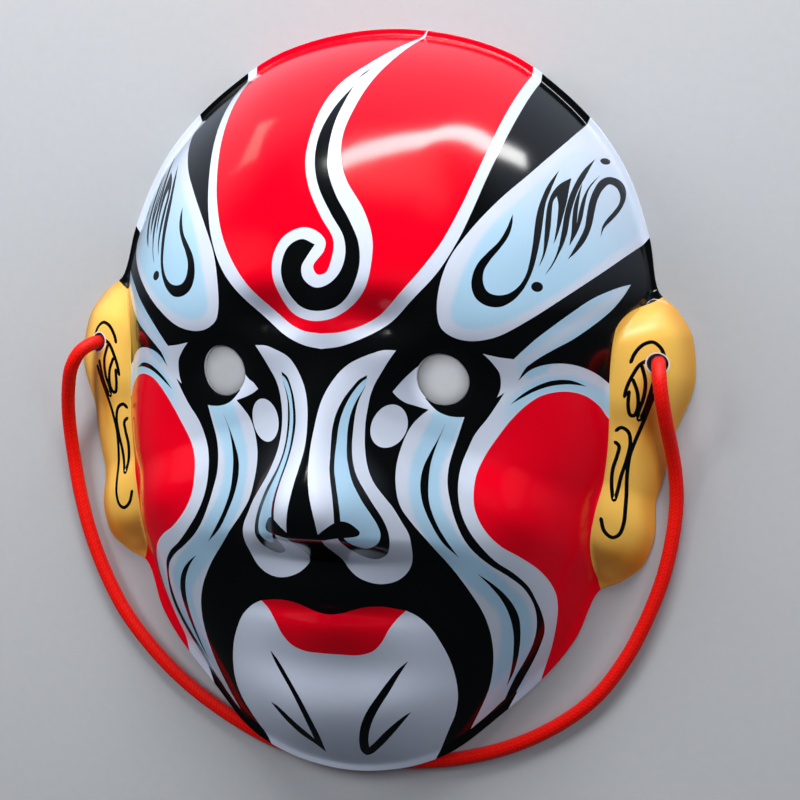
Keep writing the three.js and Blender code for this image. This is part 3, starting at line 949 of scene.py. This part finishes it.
def makeShell(materials):
    verts, triangles, ink = printedFront()
    front, frontNormals = liftFront(verts)
    edgeLoops = boundaryLoops(triangles)
    outer = np.array(edgeLoops[0])
    rimXY = verts[outer]
    reach = np.hypot(*rimXY.T)[:, None]
    backRing = rimXY * (1 - form["backInset"] / reach)
    holeXY = [verts[np.array(loop)] for loop in edgeLoops[1:]]
    grid = form["backGrid"]
    backVerts, backTriangles = sheetPlan(
        [backRing, *holeXY], backRing, holeXY, grid, form["backInset"] + grid / 4)
    back, backNormals = liftBack(backVerts)

    bare = inks.index("bare")
    points, count = [front, back], len(front) + len(back)
    faces = [tuple(t) for t in triangles] + [tuple(t + len(front))[::-1] for t in backTriangles]
    slots = list(ink) + [bare] * len(backTriangles)
    wallNormals = []

    def onBack(ringXY):
        # the back's vertices under the given points, one for each
        return [len(front) + int(np.argmin(np.hypot(*(backVerts - p).T))) for p in ringXY]

    def wall(upper, lower, colours, directions):
        # a closed band of faces from one ring of vertices down to the next
        for i in range(len(upper)):
            j = (i + 1) % len(upper)
            faces.append((upper[j], upper[i], lower[i], lower[j]))
            slots.append(colours[i])
            wallNormals.extend([directions[j], directions[i], directions[i], directions[j]])

    # the cut edge and the rim's underside: inset, height above the lift, inks, normals
    edge = form["cutEdge"]
    inkOf = {(tri[i], tri[(i + 1) % 3]): colour for tri, colour in zip(triangles, ink) for i in range(3)}
    rimInks = [inkOf[(outer[i], outer[(i + 1) % len(outer)])] for i in range(len(outer))]
    bares = [bare] * len(outer)
    outDirection = np.hstack([rimXY / reach, np.zeros((len(outer), 1))])
    profile = [
        (0, edge["height"], rimInks, outDirection),
        (edge["bevel"], 0, bares, outDirection - (0, 0, edge["lean"])),
        (edge["under"], 0, bares, outDirection * 0 - (0, 0, 1)),
    ]
    upper = list(outer)
    for inset, height, colours, directions in profile:
        ringXY = rimXY * (1 - inset / reach)
        points.append(np.hstack([ringXY, (rimLift(*ringXY.T) + height)[:, None]]))
        lower = list(range(count, count + len(outer)))
        count += len(outer)
        wall(upper, lower, colours, directions)
        upper = lower
    wall(upper, onBack(backRing), bares, -outDirection - (0, 0, 0.3))
    for loop, xy in zip(edgeLoops[1:], holeXY):
        toMiddle = np.hstack([xy.mean(0) - xy, np.zeros((len(xy), 1))])
        wall(loop, onBack(xy), [bare] * len(loop), unit(toMiddle))

    piece = newPiece("painted_mask", np.vstack(points), faces, materials)
    piece.data.polygons.foreach_set("material_index", slots)
    # the white's sprayed blue, and the gold's brown, which is part airbrush and part painted shade
    for name, spray in (("airbrush", airbrush), ("shade", earShade)):
        tones = np.zeros(count)
        tones[:len(front)] = spray(*verts.T)
        addTone(piece, name, tones)
    every = np.vstack([
        frontNormals[triangles].reshape(-1, 3), backNormals[backTriangles[:, ::-1]].reshape(-1, 3),
        np.array(wallNormals)])
    piece.data.normals_split_custom_set([tuple(n) for n in unit(every)])
    print("shell made,", len(faces), "faces")
    return piece


# printed and vacuum-formed PVC sheet, lengths in mm: the ink is under the gloss, so every colour
# shines alike but the satin gold; an ink is its colour, and what is mixed into it: sprayed blue on the
# white, and on the gold a brown that is part airbrush and part painted shade
sheetFinish = {
    "black": ("#07090A", None, None),
    "white": ("#D6E0F4", "airbrush", "#B2DAF6"),
    "red": ("#F50020", None, None),
    # the brown mixed into the gold is part airbrushed orange, part painted shade in the ear's hollow and
    # under its lobe
    "gold": ("#FFCB5E", "shade", "#CF7C1C"),
    "blue": ("#B2DAF6", None, None),
    "roughness": {"black": 0.13, "white": 0.13, "red": 0.13, "blue": 0.13, "gold": 0.34},
    "ior": 1.47,
    "waviness": 7.0,
    "waveDepth": 0.3,
    "mottle": 22.0,
    "mottleRange": (0.96, 1.02),
}


def printedSheet(name):
    # glossy PVC, clear over the ink, with the faint waviness of a sheet drawn over a mould
    base, attribute, second = sheetFinish[name]
    material, tree, shader, coords = newMaterial("gloss_pvc_" + name + "_ink")
    ink = hexColour(base)
    if attribute:
        tone = addNode(tree, "ShaderNodeAttribute", {"attribute_name": attribute}).outputs["Fac"]
        ink = blend(tree, tone, ink, hexColour(second))
    weak, strong = sheetFinish["mottleRange"]
    mottle = addNode(tree, "ShaderNodeMapRange", inputs={
        "Value": blotches(tree, coords, sheetFinish["mottle"], Detail=2),
        "From Min": 0.3, "From Max": 0.7, "To Min": weak, "To Max": strong})
    ink = blend(tree, 1.0, ink, mottle.outputs["Result"], "MULTIPLY")
    tree.links.new(ink, shader.inputs["Base Color"])
    waves = blotches(tree, coords, sheetFinish["waviness"], Detail=2, Roughness=0.4)
    emboss(tree, shader, waves, 0.06, sheetFinish["waveDepth"])
    shader.inputs["Roughness"].default_value = sheetFinish["roughness"][name]
    shader.inputs["IOR"].default_value = sheetFinish["ior"]
    return material


# the unprinted back and the edges of the holes: white PVC, satin from the mould, its grain in mm
bareFinish = {
    "dark": "#D9DCE0", "light": "#E6E8EB", "grain": 1.2, "grainDepth": 0.1, "roughness": 0.38, "ior": 1.53,
}


def bareSheet():
    material, tree, shader, coords = newMaterial("bare_white_pvc")
    grain = blotches(tree, coords, bareFinish["grain"], Detail=3)
    colour = blend(tree, grain, hexColour(bareFinish["dark"]), hexColour(bareFinish["light"]))
    tree.links.new(colour, shader.inputs["Base Color"])
    emboss(tree, shader, grain, 0.1, bareFinish["grainDepth"])
    shader.inputs["Roughness"].default_value = bareFinish["roughness"]
    shader.inputs["IOR"].default_value = bareFinish["ior"]
    return material


sheetMaterials = [printedSheet(name) for name in inks[:5]] + [bareSheet()]
shell = makeShell(sheetMaterials)
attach(shell, "root")
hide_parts("mask_shell")

# the floor and the studio, in metres, but the card's grain in mm; a lamp is its direction from
# the mask as degrees round and up, its distance, size, turn about its own axis, watts and
# colour, and whether it lights the mask or only shines in the gloss
studio = {
    "floor": {
        "dark": "#B4B8BE", "light": "#BBBEC3", "grain": 3, "roughness": 0.7, "half": 3.0, "level": -0.0001,
    },
    "world": {
        "colour": "#C6D2E4", "light": 0.05, "wall": 0.8, "dark": 0.04, "fade": 0.5, "beyond": (-0.1, 0.65),
    },
    "aim": (0, 0.03, 0.04),
    "lamps": {
        "key": (88, 31, 0.64, (0.44, 0.32), 0, 5.0, "#FFFDFA", "lights"),
        "left": (165, 36, 0.64, (0.32, 0.32), 0, 2.3, "#FFFFFF", "lights"),
        "right": (12, 38, 0.64, (0.32, 0.32), 0, 1.1, "#FFFFFF", "lights"),
        "front": (-6, 72, 0.64, (0.32, 0.32), 0, 0.3, "#F2F5FF", "lights"),
        "strip": (80, 14.5, 0.9, (1.20, 0.12), 38, 9.0, "#FFFFFF", "shines"),
        "window": (132, 1, 0.9, (0.13, 0.28), -35, 0.35, "#FFE9D2", "shines"),
    },
    # two narrow spots from the lens's place, each through an eye hole on the floor behind it
    "spots": {
        "eyes": [(0.033, 0.0042, 0.0476), (-0.033, 0.0042, 0.0476)],
        "cone": 1.5, "blend": 0.2, "radius": 0.004, "watts": 15.0,
    },
}


def makeFloor():
    # pale card, matt
    card = studio["floor"]
    material, tree, shader, coords = newMaterial("matt_card_floor")
    grain = blotches(tree, coords, card["grain"], Detail=4)
    colour = blend(tree, grain, hexColour(card["dark"]), hexColour(card["light"]))
    tree.links.new(colour, shader.inputs["Base Color"])
    shader.inputs["Roughness"].default_value = card["roughness"]
    mesh = bpy.data.meshes.new("floor")
    half, level = card["half"], card["level"]
    corners = [(-half, -half, level), (half, -half, level), (half, half, level), (-half, half, level)]
    mesh.from_pydata(corners, [], [(0, 1, 2, 3)])
    mesh.materials.append(material)
    floor = bpy.data.objects.new("floor", mesh)
    scene.collection.objects.link(floor)
    # the gloss shows the lamps and the room, and isn't veiled by the pale floor
    floor.visible_glossy = False


def makeRoom():
    # in reflections the room is dark but for a pale wall beyond the forehead, fading upward
    room = studio["world"]
    world = bpy.data.worlds.new("studio")
    world.use_nodes = True
    tree = world.node_tree
    background = tree.nodes["Background"]
    rays = addNode(tree, "ShaderNodeLightPath")
    ways = addNode(tree, "ShaderNodeSeparateXYZ", inputs={
        "Vector": addNode(tree, "ShaderNodeTexCoord").outputs["Generated"]})
    low = addNode(tree, "ShaderNodeMapRange", {"interpolation_type": "SMOOTHSTEP"}, {
        "Value": ways.outputs["Z"], "From Min": 0, "From Max": room["fade"], "To Min": 1, "To Max": 0})
    near, far = room["beyond"]
    wall = addNode(tree, "ShaderNodeMapRange", {"interpolation_type": "SMOOTHSTEP"}, {
        "Value": ways.outputs["Y"], "From Min": near, "From Max": far,
        "To Min": 0, "To Max": low.outputs["Result"]})
    wall = addNode(tree, "ShaderNodeMapRange", inputs={
        "Value": wall.outputs["Result"], "To Min": room["dark"], "To Max": room["wall"]})
    strength = addNode(tree, "ShaderNodeMapRange", inputs={
        "Value": rays.outputs["Is Glossy Ray"], "To Min": room["light"], "To Max": wall.outputs["Result"]})
    tree.links.new(strength.outputs["Result"], background.inputs["Strength"])
    background.inputs["Color"].default_value = hexColour(room["colour"])
    scene.world = world


def makeLamps():
    for name, (around, up, far, size, roll, watts, colour, use) in studio["lamps"].items():
        data = bpy.data.lights.new(name, "AREA")
        data.shape = "RECTANGLE"
        data.size, data.size_y = size
        data.energy = watts
        data.color = hexColour(colour)[:3]
        around, up = math.radians(around), math.radians(up)
        away = Vector((math.cos(around) * math.cos(up), math.sin(around) * math.cos(up), math.sin(up)))
        turn = away.to_track_quat("Z", "Y").to_matrix().to_4x4()
        turn = turn @ Matrix.Rotation(math.radians(roll), 4, "Z")
        item = bpy.data.objects.new(name, data)
        item.matrix_world = Matrix.Translation(Vector(studio["aim"]) + away * far) @ turn
        item.visible_glossy = use == "shines"
        item.visible_diffuse = use == "lights"
        item.visible_camera = False
        scene.collection.objects.link(item)


def makeEyeSpots():
    spot = studio["spots"]
    lens = scene.camera.matrix_world.translation
    for eye in spot["eyes"]:
        data = bpy.data.lights.new("eye_spot", "SPOT")
        data.energy = spot["watts"]
        data.spot_size = math.radians(spot["cone"])
        data.spot_blend = spot["blend"]
        data.shadow_soft_size = spot["radius"]
        item = bpy.data.objects.new("eye_spot", data)
        turn = (lens - Vector(eye)).to_track_quat("Z", "Y").to_matrix().to_4x4()
        item.matrix_world = Matrix.Translation(lens) @ turn
        item.visible_glossy = item.visible_camera = False
        scene.collection.objects.link(item)


makeFloor()
makeRoom()
makeLamps()
makeEyeSpots()
scene.view_settings.view_transform = "Standard"
print("studio lit")
